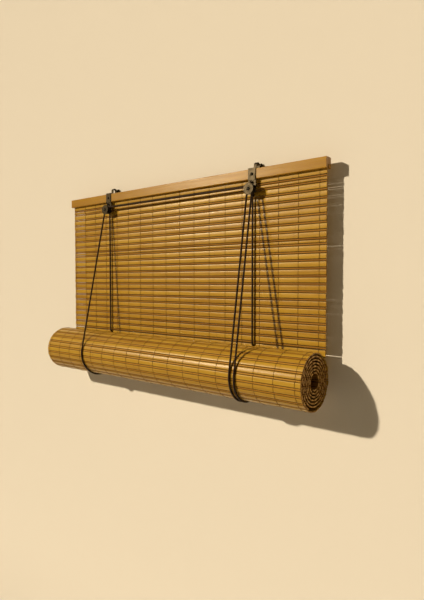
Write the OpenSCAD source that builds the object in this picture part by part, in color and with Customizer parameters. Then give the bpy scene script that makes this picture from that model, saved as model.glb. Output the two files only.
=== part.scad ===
// Bamboo roll up blind: a woven slat mat hung from a wooden head rail and rolled up at its foot.
// Two hooked hangers carry the rail and a pulley each, and cords sling the roll below them.
// X runs along the rail, +Y points to the wall and +Z up. The hooks' axis runs through the origin.

/* [Head rail] */
// Length of the rail
rail_length = 820; // [700:10:1200]
// Height of the rail
rail_height = 22; // [18:1:30]
// Depth of the rail from front to back
rail_depth = 20; // [18:1:26]
// Radius of the rail's long edges
rail_edge = 1.6; // [0.6:0.2:3]
// Depth of the saw cut under the rail that holds the mat
groove_depth = 8.5; // [7:0.5:10]
// Distance from the rail's front face to the middle of the mat
mat_setback = 10; // [9:0.5:12]

/* [Mat] */
// How far the mat stops short of each end of the rail
mat_margin = 2; // [0:0.5:10]
// Thickness of the wide slats
slat_thickness = 3; // [2:0.2:4]
// Width of a wide slat
slat_width = 10.4; // [8:0.2:14]
// Width of the few narrow slats
narrow_width = 5.6; // [4:0.2:8]
// Width of the top slat, which the rail grips
top_width = 17.4; // [14:0.2:20]
// Width of the thin stick between two slats
stick_width = 3.2; // [2:0.2:4]
// Open gap on each side of a stick
slat_gap = 1.1; // [0.6:0.1:2]
// Width of the warp bands that join the slats
warp_width = 5; // [3:0.5:10]
// Thickness of the warp bands
warp_thickness = 1.2; // [0.8:0.1:1.6]
// Number of nails that pin the mat into the rail
pin_count = 5; // [3:1:9]
// Diameter of a nail
pin_d = 1.8; // [1.2:0.2:2.4]

/* [Roll] */
// Outer radius of the roll
roll_radius = 57.5; // [48:0.5:65]
// Radius of the hollow inside the innermost turn
roll_hollow = 17; // [12:0.5:22]
// Distance from one turn to the next
turn_pitch = 6.3; // [5:0.1:8]
// Drop from the rail's top to the middle of the roll
roll_drop = 434; // [380:2:520]
// Distance from the middle of the roll back to the mat
roll_offset = 36; // [30:0.5:42]
// How far the roll was wound off centre, plus to the right
roll_shift = -4.5; // [-8:0.5:8]

/* [Hangers] */
// Distance between the two hangers
hanger_span = 476; // [400:2:640]
// Width of a hanger's strap
strap_width = 19; // [18:0.5:22]
// Thickness of the strap's sheet
strap_thickness = 1.8; // [1.4:0.1:2.4]
// Distance from the rail's top up to the hooks' axis
hook_rise = 10; // [8:0.5:14]
// Distance from the rail's front back to the hooks' axis
hook_setback = 19; // [16:0.5:22]
// Inner radius of the hook
hook_radius = 5; // [4:0.5:6]
// Width of the hook's tongue
hook_width = 7; // [6:0.5:10]
// Drop from the rail's underside to the pulley's axle
axle_drop = 22; // [20:0.5:30]
// Diameter of the screw's head
screw_head_d = 7; // [5.5:0.5:9]
// Diameter of the screw's shank
screw_d = 3.4; // [2.8:0.2:4]
// Length of the screw's shank in the rail
screw_length = 11; // [8:0.5:12]

/* [Pulleys] */
// Diameter of the pulley's front cap
cap_d = 26; // [24:0.5:30]
// Thickness of the cap's sheet
cap_thickness = 1.6; // [1:0.1:2.2]
// Diameter of the axle
axle_d = 4; // [3:0.2:4.6]
// Diameter of the sheave's flanges
sheave_d = 22; // [19:0.5:23]
// Radius at the bottom of the sheave's grooves
groove_radius = 4; // [3.6:0.1:5]
// Thickness of each flange at its rim
flange_rim = 0.8; // [0.6:0.1:1.2]

/* [Cords] */
// Diameter of the lift cord
cord_d = 4; // [3:0.1:4.2]
// Open space between a rear cord and the mat
cord_room = 2.5; // [1.5:0.1:3]

/* [Hidden] */
// Running clearance between an axle and its bore
run_fit = 0.05;
// Clearance between pieces that only lie on each other
seat_fit = 0.3;
// Play at each end of a sheave
end_play = 0.3;
round_fn = 48;
cord_sides = 8;

// Levels and planes
rail_top = -hook_rise;
rail_bottom = rail_top - rail_height;
rail_front = -hook_setback;
rail_back = rail_front + rail_depth;
mat_y = rail_front + mat_setback;
mat_front = mat_y - slat_thickness / 2;
mat_back = mat_y + slat_thickness / 2;
mat_half = rail_length / 2 - mat_margin;
mat_top = rail_bottom + groove_depth - seat_fit;
roll_y = mat_y - roll_offset;
roll_z = rail_top - roll_drop;
mat_foot = roll_z + sqrt(pow(roll_radius, 2) - pow(roll_offset - slat_thickness / 2, 2)) + seat_fit;
pitch = slat_width + stick_width + 2 * slat_gap;

// The hanger's plate stands in front of the mat, with room for a cord between them
plate_back = mat_front - cord_room - cord_d - seat_fit;
plate_front = plate_back - strap_thickness;
axle_z = rail_bottom - axle_drop;
left_x = -hanger_span / 2;
right_x = hanger_span / 2;
screw_z = rail_bottom + groove_depth + screw_d / 2 + 2 * seat_fit;
screw_hole_d = screw_d + 2 * run_fit;
under_rail = rail_bottom - seat_fit;

// The sheave has two grooves side by side between the plate and the cap
groove_width = cord_d + 1;
sheave_width = 2 * groove_width + 3 * flange_rim;
sheave_back = plate_front - end_play;
sheave_front = sheave_back - sheave_width;
rear_groove_y = sheave_back - flange_rim - groove_width / 2;
front_groove_y = sheave_front + flange_rim + groove_width / 2;
cap_back = sheave_front - end_play;
cap_front = cap_back - cap_thickness;
axle_head_r = axle_d / 2 + 2;
axle_head_h = 2;

// A cord's middle runs this far from the axle, and this far from the roll's middle
wrap_radius = groove_radius + cord_d / 2 + 0.2;
sling_radius = roll_radius + cord_d / 2 + 1.5 * seat_fit;
knot_r = cord_d * 0.85;
rear_cord_y = plate_back + cord_d / 2 + seat_fit;
tie_x = -1;

// How far to the side of its pulley each front cord comes down on the roll
left_sway = -6;
right_sway = 10;

tie_z = rail_bottom - 6.5;
tie_hole_d = cord_d + 2 * seat_fit;
lace_hole_d = cord_d + 1.4;

// Where a front cord clears the sheave's flange, and then the cap's rim, as (y, z)
side_play = groove_width / 2 - cord_d / 2 - 0.2;
flange_exit = [front_groove_y - side_play,
    axle_z - sqrt(pow(sheave_d / 2, 2) - pow(wrap_radius, 2)) - 0.3];
cap_exit = [cap_back + cord_d / 2 + 0.25,
    axle_z - sqrt(pow(cap_d / 2, 2) - pow(wrap_radius - cord_d / 2, 2)) - 0.4];

// Where the front cords touch the roll, as an angle about the roll's middle from +Y towards +Z
cord_dy = cap_exit[0] - roll_y;
cord_dz = cap_exit[1] - roll_z;
cord_reach = norm([cord_dy, cord_dz]);
touch_angle = atan2(cord_dz, cord_dy) + acos(sling_radius / cord_reach);

// Where a rear cord is laced through the mat, as reach and height from the roll's middle
rear_reach = rear_cord_y - roll_y;
lace_rise = 8;
function over_roll(reach, rise) = [reach, sqrt(pow(sling_radius + rise, 2) - pow(reach, 2))];
lace_height = over_roll(roll_offset, lace_rise)[1];
lace_start = [over_roll(rear_reach, lace_rise + 4.3), over_roll(rear_reach + 0.6, lace_rise + 2.4)];
lace_points = [
    over_roll(roll_offset - 1, lace_rise - 0.2),
    over_roll(roll_offset + 3, lace_rise - 1.2),
    over_roll(roll_offset + 8, lace_rise - 2.5)
];
hug_angle = 34;
sling_steps = 20;

rail_colour = "peru";
slat_colour = "goldenrod";
iron_colour = "dimgray";
cord_colour = "#2b211a";

// Shapes that repeat

// Turns a flat outline drawn as (y, z) into a bar along X, centred on x
module bar(x, length) {
    translate([x - length / 2, 0, 0])
        rotate([90, 0, 90])
            linear_extrude(length)
                children();
}

// A rod along Y from one depth to another
module rod_y(x, z, d, from, to) {
    translate([x, from, z])
        rotate([-90, 0, 0])
            cylinder(d = d, h = to - from, $fn = round_fn);
}

// A turned shape whose axis lies along +Y, from an outline of (radius, depth)
module turned_y(x, y, z) {
    translate([x, y, z])
        rotate([-90, 0, 0])
            rotate_extrude($fn = round_fn)
                children();
}

// A slat's section: a flat strip with its long edges taken off
module slat_section(y, z, width, thickness) {
    ease = thickness * 0.25;
    front = y - thickness / 2;
    back = y + thickness / 2;
    polygon([
        [front, z - width / 2 + ease], [front + ease, z - width / 2],
        [back - ease, z - width / 2], [back, z - width / 2 + ease],
        [back, z + width / 2 - ease], [back - ease, z + width / 2],
        [front + ease, z + width / 2], [front, z + width / 2 - ease]
    ]);
}

// Ring of points round a route point, square to the way the route runs there
function unit(v) = v / norm(v);
function run_at(route, i) =
    unit(route[min(i + 1, len(route) - 1)] - route[max(i - 1, 0)]);
function cord_ring(centre, run, r) =
    let (side = unit(cross(run, abs(run[0]) > 0.8 ? [0, 0, 1] : [1, 0, 0])), up = cross(side, run))
    [for (k = [0 : cord_sides - 1])
        centre + r * (cos(360 * k / cord_sides) * side + sin(360 * k / cord_sides) * up)];

// A tube swept along a route
module cord(route) {
    rings = [for (i = [0 : len(route) - 1]) cord_ring(route[i], run_at(route, i), cord_d / 2)];
    points = [for (ring = rings) for (p = ring) p];
    last = len(route) - 1;
    walls = [for (i = [0 : last - 1]) for (k = [0 : cord_sides - 1])
        let (n = (k + 1) % cord_sides)
        [i * cord_sides + k, i * cord_sides + n, (i + 1) * cord_sides + n, (i + 1) * cord_sides + k]];
    ends = [
        [for (k = [cord_sides - 1 : -1 : 0]) k],
        [for (k = [0 : cord_sides - 1]) last * cord_sides + k]
    ];
    color(cord_colour)
        polyhedron(points = points, faces = concat(walls, ends), convexity = 4);
}

// An overhand knot, drawn as one short barrel
module knot(x, y, z) {
    color(cord_colour)
        translate([x, y, z])
            sphere(r = knot_r, $fn = 32);
}

// Head rail: a planed batten with a saw cut below for the mat

module head_rail() {
    color(rail_colour)
        difference() {
            bar(0, rail_length)
                rail_section();
            for (x = pin_places())
                rod_y(x, pin_z(), pin_d + 2 * run_fit, mat_y - slat_thickness, rail_back + 1);
            for (x = [left_x, right_x])
                rod_y(x, screw_z, screw_hole_d, rail_front - 1, rail_front + screw_length + seat_fit);
        }
}

module rail_section() {
    difference() {
        rounded_box(rail_front, rail_bottom, rail_depth, rail_height, rail_edge);
        translate([mat_front - 0.2, rail_bottom - 1])
            square([slat_thickness + 0.4, groove_depth + 1]);
    }
}

module rounded_box(y, z, depth, height, r) {
    translate([y, z + r])
        square([depth, height - 2 * r]);
    translate([y + r, z])
        square([depth - 2 * r, height]);
    for (cy = [y + r, y + depth - r])
        for (cz = [z + r, z + height - r])
            translate([cy, cz])
                circle(r = r, $fn = round_fn);
}

function pin_places() =
    [for (i = [0 : pin_count - 1]) (i - (pin_count - 1) / 2) * mat_half * 1.9 / (pin_count - 1)];
function pin_z() = mat_top - 4.5;

module mat_pins() {
    color(iron_colour)
        for (x = pin_places())
            rod_y(x, pin_z(), pin_d, mat_y - slat_thickness / 2, rail_back);
}

// Mat: wide slats with a thin stick between each pair, joined by warp bands

narrow_rows = [1, 9];
function row_width(i) = i == 0 ? top_width : len(search(i, narrow_rows)) > 0 ? narrow_width : slat_width;
function row_top(i) = i == 0 ? mat_top : row_top(i - 1) - row_width(i - 1) - stick_width - 2 * slat_gap;
function rows_above(foot, i = 0) = row_top(i + 1) < foot ? i : rows_above(foot, i + 1);
slat_count = rows_above(mat_foot);
foot_strip = row_top(slat_count) - mat_foot;
warp_places = [-mat_half + warp_width, 0, mat_half - warp_width];

module woven_mat() {
    color(slat_colour)
        difference() {
            union() {
                for (i = [0 : slat_count - 1])
                    mat_row(row_top(i), row_width(i));
                bar(0, 2 * mat_half)
                    slat_section(mat_y, mat_foot + (foot_strip - slat_gap) / 2,
                        foot_strip - slat_gap, slat_thickness);
                for (x = warp_places)
                    bar(x, warp_width)
                        translate([mat_y - warp_thickness / 2, mat_foot + slat_thickness])
                            square([warp_thickness, mat_top - mat_foot - 2 * slat_thickness]);
            }
            for (x = pin_places())
                rod_y(x, pin_z(), pin_d + 2 * run_fit, mat_front - 1, mat_back + 1);
            for (x = [left_x, right_x])
                lace_hole(x + tie_x);
        }
}

module mat_row(top, width) {
    bar(0, 2 * mat_half)
        slat_section(mat_y, top - width / 2, width, slat_thickness);
    bar(0, 2 * mat_half)
        slat_section(mat_y, top - width - slat_gap - stick_width / 2, stick_width, stick_width * 0.8);
}

// The cord slopes through the mat, so its hole is a tall slot
module lace_hole(x) {
    translate([x - lace_hole_d / 2, mat_front - 1, roll_z + lace_height - lace_hole_d])
        cube([lace_hole_d, slat_thickness + 2, lace_hole_d * 2.2]);
}

// Roll: the mat's outer turn as a closed ring, with the other turns wound inside it

ring_repeats = round(2 * PI * roll_radius / pitch);
ring_step = 360 / ring_repeats;
turn_thickness = slat_thickness;
ring_inner = roll_radius - turn_thickness;
turns = (ring_inner - roll_hollow - turn_thickness) / turn_pitch + 1;

function polar(r, angle) = [r * cos(angle), r * sin(angle)];

// One slat, a dip, one stick and another dip along the ring's outside
function ring_repeat(a) =
    let (slat = ring_step * slat_width / pitch, gap = ring_step * slat_gap / pitch)
    [
        polar(roll_radius, a), polar(roll_radius, a + slat),
        polar(roll_radius - 1.1, a + slat + gap * 0.3), polar(roll_radius - 1.1, a + slat + gap * 0.9),
        polar(roll_radius - 0.3, a + slat + gap), polar(roll_radius - 0.3, a + ring_step - gap),
        polar(roll_radius - 1.1, a + ring_step - gap * 0.9), polar(roll_radius - 1.1, a + ring_step - gap * 0.3)
    ];

// The inner turns leave the ring at its back and wind inwards, one chord for each slat
turn_chord = 10;
turn_root = turn_thickness * 0.6;
ring_chord = 6;
function turn_radius(t) = ring_inner + turn_root - turn_pitch * t;
function turn_steps(first) =
    [for (t = first; t <= turns; t = t + turn_chord / (2 * PI * turn_radius(t))) t];

// The space inside the ring: down one side of the wound strip, back up the other, and round the ring
function roll_space() =
    let (leave = turn_root / turn_pitch, outside = turn_steps(leave), inside = turn_steps(0))
    concat(
        [for (t = outside) polar(turn_radius(t), -360 * t)],
        [for (i = [len(inside) - 1 : -1 : 0])
            polar(turn_radius(inside[i]) - turn_thickness, -360 * inside[i])],
        [for (a = [0 : ring_chord : 360 * (1 - leave) - ring_chord / 2]) polar(ring_inner, a)]
    );

module roll_section() {
    rim = [for (i = [0 : ring_repeats - 1]) for (p = ring_repeat(i * ring_step)) p];
    space = roll_space();
    polygon(
        points = concat(rim, space),
        paths = [
            [for (i = [0 : len(rim) - 1]) i],
            [for (i = [0 : len(space) - 1]) len(rim) + i]
        ]
    );
}

module rolled_mat() {
    color(slat_colour)
        bar(roll_shift, 2 * mat_half)
            translate([roll_y, roll_z])
                roll_section();
}

// Hangers: a folded strap that hooks over the wall hook, clasps the rail and holds the pulley

module hanger(x) {
    color(iron_colour)
        difference() {
            union() {
                bar(x, strap_width)
                    strap_section();
                bar(x, hook_width)
                    hook_section();
                rod_y(x, axle_z, strap_width, plate_front, plate_back);
            }
            rod_y(x, screw_z, screw_hole_d, rail_front - strap_thickness - 1, rail_front + 1);
            rod_y(x, axle_z, axle_d + 2 * run_fit, plate_front - 1, plate_back + 1);
            rod_y(x + tie_x, tie_z, tie_hole_d, plate_front - 1, plate_back + 1);
        }
}

// Down the rail's front, back under the rail and down again behind the sheave
module strap_section() {
    front = rail_front - strap_thickness;
    translate([front, under_rail - strap_thickness])
        square([strap_thickness, rail_top - under_rail + 2 * strap_thickness]);
    translate([front, rail_top])
        square([strap_thickness + 4, strap_thickness]);
    translate([front, under_rail - strap_thickness])
        square([plate_back - front, strap_thickness]);
    translate([plate_front, axle_z])
        square([strap_thickness, under_rail - axle_z]);
}

// Half a ring about (y, z), its open side down, or up when it is turned over
module half_ring(y, z, r, turned = false) {
    outer = r + strap_thickness;
    translate([y, z])
        rotate(turned ? 180 : 0)
            difference() {
                circle(r = outer, $fn = round_fn);
                circle(r = r, $fn = round_fn);
                translate([-outer - 1, -outer - 1])
                    square([2 * outer + 2, outer + 1]);
            }
}

// A level leg's length of strap standing at y, from one height to another
module upright(y, from, to) {
    translate([y, from])
        square([strap_thickness, to - from]);
}

// Along the rail's top, up, over the wall hook, down again, and up and over to a curled tip
module hook_section() {
    curl = 1.6;
    dip = -hook_rise * 0.35;
    crest = hook_radius * 0.7;
    rise_y = hook_radius + strap_thickness + 2 * curl;
    tip_y = rise_y + strap_thickness + 2 * curl;
    translate([rail_front - strap_thickness, rail_top])
        square([hook_setback - hook_radius + strap_thickness, strap_thickness]);
    upright(-hook_radius - strap_thickness, rail_top, 0.01);
    half_ring(0, 0, hook_radius);
    upright(hook_radius, dip, 0.01);
    half_ring(hook_radius + strap_thickness + curl, dip + 0.01, curl, true);
    upright(rise_y, dip, crest + 0.01);
    half_ring(rise_y + strap_thickness + curl, crest, curl);
    upright(tip_y, crest - 3, crest + 0.01);
}

module left_hanger() {
    hanger(left_x);
}

module right_hanger() {
    hanger(right_x);
}

module hanger_screws() {
    head_h = screw_head_d * 0.35;
    color(iron_colour)
        for (x = [left_x, right_x]) {
            rod_y(x, screw_z, screw_d, rail_front - strap_thickness, rail_front + screw_length);
            turned_y(x, rail_front - strap_thickness, screw_z)
                polygon([
                    [0, 0], [screw_head_d / 2, 0], [screw_head_d / 2, -head_h * 0.35],
                    [screw_head_d * 0.36, -head_h * 0.85], [screw_head_d * 0.14, -head_h], [0, -head_h]
                ]);
        }
}

// Pulleys: a twin grooved sheave on a riveted axle, with a round cap in front

module axle(x) {
    color(iron_colour) {
        rod_y(x, axle_z, axle_d, cap_front, plate_back);
        turned_y(x, cap_front, axle_z)
            polygon([
                [0, 0], [axle_head_r, 0], [axle_head_r * 0.94, -axle_head_h * 0.5],
                [axle_head_r * 0.6, -axle_head_h * 0.9], [0, -axle_head_h]
            ]);
    }
}

module left_axle() {
    axle(left_x);
}

module right_axle() {
    axle(right_x);
}

// A groove as (radius, depth) points: a flange edge, the sloping wall and the groove's floor
function groove_outline(depth) = [
    [sheave_d / 2, depth],
    [groove_radius, depth + groove_width * 0.1],
    [groove_radius, depth + groove_width * 0.9],
    [sheave_d / 2, depth + groove_width]
];

module sheave(x) {
    bore_r = axle_d / 2 + run_fit;
    color("darkslategray")
        turned_y(x, sheave_front, axle_z)
            polygon(concat(
                [[bore_r, 0], [sheave_d / 2, 0]],
                groove_outline(flange_rim),
                groove_outline(2 * flange_rim + groove_width),
                [[sheave_d / 2, sheave_width], [bore_r, sheave_width]]
            ));
}

module left_sheave() {
    sheave(left_x);
}

module right_sheave() {
    sheave(right_x);
}

// The cap's rim is eased, and a raised boss rings the axle
module pulley_cap(x) {
    boss_r = axle_head_r + 1.5;
    bore_r = axle_d / 2 + run_fit;
    ease = cap_thickness * 0.4;
    color(iron_colour)
        turned_y(x, cap_front, axle_z)
            polygon([
                [bore_r, 0], [boss_r, 0], [boss_r + ease, ease * 0.5],
                [cap_d / 2 - ease, ease * 0.5], [cap_d / 2, ease * 1.5],
                [cap_d / 2, cap_thickness], [bore_r, cap_thickness]
            ]);
}

module left_pulley_cap() {
    pulley_cap(left_x);
}

module right_pulley_cap() {
    pulley_cap(right_x);
}

// Cords: each lift cord is tied behind its pulley, slings the roll and comes up in front to the sheave

cord_gap = 0.5;

// A point about an axle, in a groove, and a point about the roll's middle
function round_axle(x, y, angle) =
    [x + wrap_radius * cos(angle), y, axle_z + wrap_radius * sin(angle)];
function round_roll(x, angle) =
    [x, roll_y + sling_radius * cos(angle), roll_z + sling_radius * sin(angle)];

// From the knot in front of the plate, through the plate and down in front of the mat
module rear_cord(x) {
    foot = roll_z + lace_start[0][1] + cord_gap;
    cord([
        [x, plate_front + 0.1, tie_z],
        [x, plate_back, tie_z],
        [x, rear_cord_y - 0.5, tie_z - 0.8],
        [x, rear_cord_y, tie_z - 3],
        [x, rear_cord_y, tie_z - 12],
        [x, rear_cord_y, foot]
    ]);
}

module left_rear_cord() {
    rear_cord(left_x + tie_x);
}

module right_rear_cord() {
    rear_cord(right_x + tie_x);
}

module left_rear_knot() {
    knot(left_x + tie_x, plate_front - knot_r, tie_z);
}

module right_rear_knot() {
    knot(right_x + tie_x, plate_front - knot_r, tie_z);
}

// Through the mat, round the roll's back and foot, and up to where the front cord leaves the roll
function sling_route(rear_x, front_x) =
    let (turn = hug_angle - touch_angle + 360)
    concat(
        [for (p = concat(lace_start, lace_points)) [rear_x, roll_y + p[0], roll_z + p[1]]],
        [for (i = [0 : sling_steps])
            round_roll(rear_x + (front_x - rear_x) * i / sling_steps, hug_angle - turn * i / sling_steps)]
    );

module left_sling() {
    cord(sling_route(left_x + tie_x, left_x - wrap_radius + left_sway));
}

module right_sling() {
    cord(sling_route(right_x + tie_x, right_x - wrap_radius + right_sway));
}

// The pull cord is stowed round the roll, and its end is knotted to the right sling at the back
pull_end_angle = hug_angle - 8;
pull_end_x = tie_x + cord_d / 2 + knot_r + seat_fit;

module pull_sling() {
    turn = pull_end_angle - touch_angle + 360;
    from_x = right_x + pull_end_x;
    to_x = right_x + wrap_radius + right_sway;
    cord([for (i = [0 : sling_steps])
        round_roll(from_x + (to_x - from_x) * i / sling_steps, pull_end_angle - turn * i / sling_steps)]);
}

module pull_knot() {
    reach = roll_radius + knot_r + seat_fit;
    angle = pull_end_angle + (knot_r - 0.1) / sling_radius * 180 / PI;
    knot(right_x + pull_end_x, roll_y + reach * cos(angle), roll_z + reach * sin(angle));
}

// From the sheave's side, out past the cap's rim and straight to the roll's front
module front_cord(x, sway) {
    out = [x, cap_exit[0], cap_exit[1]];
    foot = round_roll(x + sway, touch_angle);
    run = unit(foot - out);
    cord([
        [x, front_groove_y, axle_z - cord_gap],
        [x, flange_exit[0], flange_exit[1]],
        out,
        foot - cord_gap * run
    ]);
}

module left_front_cord() {
    front_cord(left_x - wrap_radius, left_sway);
}

module right_front_cord() {
    front_cord(right_x - wrap_radius, right_sway);
}

module pull_cord() {
    front_cord(right_x + wrap_radius, right_sway);
}

// From the left sheave's side over its top, across to the right pulley and over to a knot
wrap_step = 22.5;
cross_tail = sqrt(pow(sheave_d / 2 + knot_r + seat_fit, 2) - pow(wrap_radius, 2)) - knot_r;

module cross_cord() {
    cord(concat(
        [[left_x - wrap_radius, front_groove_y, axle_z]],
        [for (a = [180 - wrap_step : -wrap_step : 90]) round_axle(left_x, front_groove_y, a)],
        [for (a = [90 : -wrap_step : 0]) round_axle(right_x, rear_groove_y, a)],
        [[right_x + wrap_radius, rear_groove_y, axle_z - cross_tail + 0.1]]
    ));
}

module cross_knot() {
    knot(right_x + wrap_radius, rear_groove_y, axle_z - cross_tail - knot_r);
}

module right_over_cord() {
    cord(concat(
        [[right_x - wrap_radius, front_groove_y, axle_z]],
        [for (a = [180 - wrap_step : -wrap_step : wrap_step]) round_axle(right_x, front_groove_y, a)],
        [[right_x + wrap_radius, front_groove_y, axle_z]]
    ));
}

head_rail();
woven_mat();
mat_pins();
rolled_mat();
left_hanger();
right_hanger();
hanger_screws();
left_axle();
right_axle();
left_sheave();
right_sheave();
left_pulley_cap();
right_pulley_cap();
left_rear_cord();
right_rear_cord();
left_rear_knot();
right_rear_knot();
left_sling();
right_sling();
pull_sling();
pull_knot();
left_front_cord();
right_front_cord();
pull_cord();
cross_cord();
cross_knot();
right_over_cord();
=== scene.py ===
"""Looks of a bamboo roll up blind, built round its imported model.

Lengths are in metres. X runs along the rail, -Y faces the room and +Z is up.
"""

import math

import bmesh
import bpy
from mathutils import Matrix, Vector


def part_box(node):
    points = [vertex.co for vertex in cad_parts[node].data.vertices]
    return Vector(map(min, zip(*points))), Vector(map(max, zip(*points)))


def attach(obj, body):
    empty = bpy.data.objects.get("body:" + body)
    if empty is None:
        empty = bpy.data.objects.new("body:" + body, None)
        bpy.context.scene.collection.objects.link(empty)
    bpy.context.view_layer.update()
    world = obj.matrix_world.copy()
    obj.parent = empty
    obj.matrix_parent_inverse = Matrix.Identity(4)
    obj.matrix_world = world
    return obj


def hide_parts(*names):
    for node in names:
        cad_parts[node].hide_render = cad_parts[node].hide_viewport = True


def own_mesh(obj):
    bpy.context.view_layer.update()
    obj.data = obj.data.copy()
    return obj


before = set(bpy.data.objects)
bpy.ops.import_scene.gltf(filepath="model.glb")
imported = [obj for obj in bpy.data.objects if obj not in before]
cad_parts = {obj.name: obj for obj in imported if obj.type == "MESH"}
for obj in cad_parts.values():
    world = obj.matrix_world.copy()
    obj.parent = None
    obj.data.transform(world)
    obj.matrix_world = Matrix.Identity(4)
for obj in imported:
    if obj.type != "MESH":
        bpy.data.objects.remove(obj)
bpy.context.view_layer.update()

MM = 0.001

# Camera
IMAGE_WIDTH = 424
FOCAL_PIXELS = 489.08
SENSOR_WIDTH = 36
CAMERA_PLACE = Vector((0.8372, -0.8904, -0.2511))
CAMERA_YAW = math.radians(39.148)
CAMERA_PITCH = math.radians(2.134)

# Lamps. A fade is two slopes of a lamp's rays: its light is least below the first and full
# above the second.
KEY_PLACE = (-1.631, -2.496, 1.04)
KEY_POWER = 34.8
KEY_RADIUS = 0.055
GLOSS_PLACE = (-2.05, -2.496, 1.04)
GLOSS_POWER = 20.0
GLOSS_RADIUS = 0.28
FRONT_FADE = (-1.4, -0.85)
REAR_PLACE = (-0.9, 2.6, -0.1)
REAR_POWER = 9.0
REAR_RADIUS = 0.3
REAR_FADE = (-0.4, -0.25)
FADED_SHARE = 0.1
LEAST_DEPTH = 0.3
LAMP_COLOUR = (1.0, 0.81, 0.54)

# Room
ROOM_COLOUR = (1.0, 0.61, 0.17, 1.0)
ROOM_STRENGTH = 0.079
BACKDROP_COLOUR = (0.83, 0.66, 0.43, 1.0)
BACKDROP_STRENGTH = 0.8
PAINT_COLOUR = (0.77, 0.765, 0.76, 1.0)
WALL_Y = 17.4 * MM
FLOOR_Z = -1.6
STAGE_REACH = 6.0

# The mat. A full value widens slats or sticks, a least value is the narrowest share of that.
MAT_HALF = 408 * MM
MAT_Y = -9 * MM
MAT_TOP = -23.8 * MM
MAT_FOOT = -400.3 * MM
SLAT_WIDTH = 10.4 * MM
SLAT_FULL = 1.115
SLAT_LEAST = 0.95
SLAT_ROUNDNESS = 0.73
SLAT_SWAY = 0.35 * MM
NARROW_WIDTH = 5.6 * MM
TOP_WIDTH = 17.4 * MM
NARROW_ROWS = (1, 9)
SLAT_THICKNESS = 2.9 * MM
STICK_WIDTH = 3.2 * MM
STICK_FULL = 1.28
STICK_LEAST = 0.82
STICK_ROUNDNESS = 0.72
STICK_SWAY = 0.3 * MM
STICK_THICKNESS = 2.5 * MM
SLAT_GAP = 1.1 * MM
JOINT_HALF = 1.1 * MM
ROW_PITCH = SLAT_WIDTH + STICK_WIDTH + 2 * SLAT_GAP
THREAD_LINES = 18
THREAD_SPACING = 46.7 * MM
THREAD_RADIUS = 0.38 * MM
FRONT_THREAD_X = -4.5 * MM
BACK_THREAD_X = -3.5 * MM
SLAT_REACH = SLAT_THICKNESS / 2 + THREAD_RADIUS * 0.8
STICK_REACH = STICK_THICKNESS / 2 + THREAD_RADIUS * 0.8

# The roll
ROLL_X = -4.5 * MM
ROLL_Y = -45 * MM
ROLL_Z = -444 * MM
ROLL_RADIUS = 57.5 * MM
TURN_PITCH = 6.3 * MM
TURN_FIRST = 0.34
TURN_LAST = 6.4
TURN_GAP = 1.2 * MM
RING_ROWS = 23
RING_BEND = 0.35
ROLL_FULL = 1.05
ROLL_SWAY = 0.3 * MM
OUTER_THREAD_X = ROLL_X - 1.5 * MM
INNER_THREAD_X = ROLL_X - 0.5 * MM

# Hangers and pulleys
HANGER_X = 238 * MM
AXLE_Z = -54 * MM
PLATE_FRONT = -19.1 * MM
PLATE_BACK = -17.3 * MM
FRONT_GROOVE_Y = -28.5 * MM
REAR_GROOVE_Y = -22.7 * MM
WRAP_RADIUS = 6.2 * MM
LEFT_SWAY = -6 * MM
RIGHT_SWAY = 10 * MM
SHEAVE_RADIUS = 11 * MM
CAP_BACK = -32.1 * MM
CAP_RADIUS = 13 * MM
STRAP_FRONT = -20.8 * MM

# Screws, with radius and depth in millimetres from the middle of the head to the point
SCREW_Z = -21.2 * MM
SCREW_PROFILE = [
    (0.0, -2.45), (1.2, -2.38), (2.1, -2.1), (2.9, -1.5), (3.4, -0.7), (3.5, 0.0),
    (1.7, 0.0), (1.7, 11.0), (0.9, 12.5), (0.0, 12.9),
]
SCREW_SLOT = (9 * MM, 2.4 * MM, 0.9 * MM)
SCREW_SLOT_Y = -2.6 * MM
SCREW_TURNS = (0.5, -0.9)

# Cords
CORD_RADIUS = 2 * MM
CORD_FULL = 1.18
KNOT_RADIUS = 3.4 * MM
SLING_RADIUS = 59.95 * MM
TIE_X = -1 * MM
PULL_END_X = 4.7 * MM
TIE_Z = -38.5 * MM
REAR_CORD_Y = -15 * MM
LACE_RISE = 3 * MM
LACE_SLOT = 5.4 * MM
HUG_ANGLE = math.radians(34)
PULL_END_ANGLE = math.radians(26)
CORD_LAY = 8 * MM
CORD_STEP = 1.5 * MM
CORNER_REACH = 1.5 * MM
KNOT_SIZE = 0.76 * MM
KNOT_CORD = {"Radius": 1.15 * MM, "Lay": 5 * MM, "Step": 0.8 * MM}

# Fineness of the meshes
SLAT_STEPS = 29
SLAT_SIDES = 24
THREAD_STEPS = 10
THREAD_SIDES = 6
CORD_SIDES = 15
HUG_STEPS = 60
WRAP_STEPS = 12
KNOT_STEPS = 72
SCREW_SIDES = 32
SHARP_ANGLE = 0.9


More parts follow.
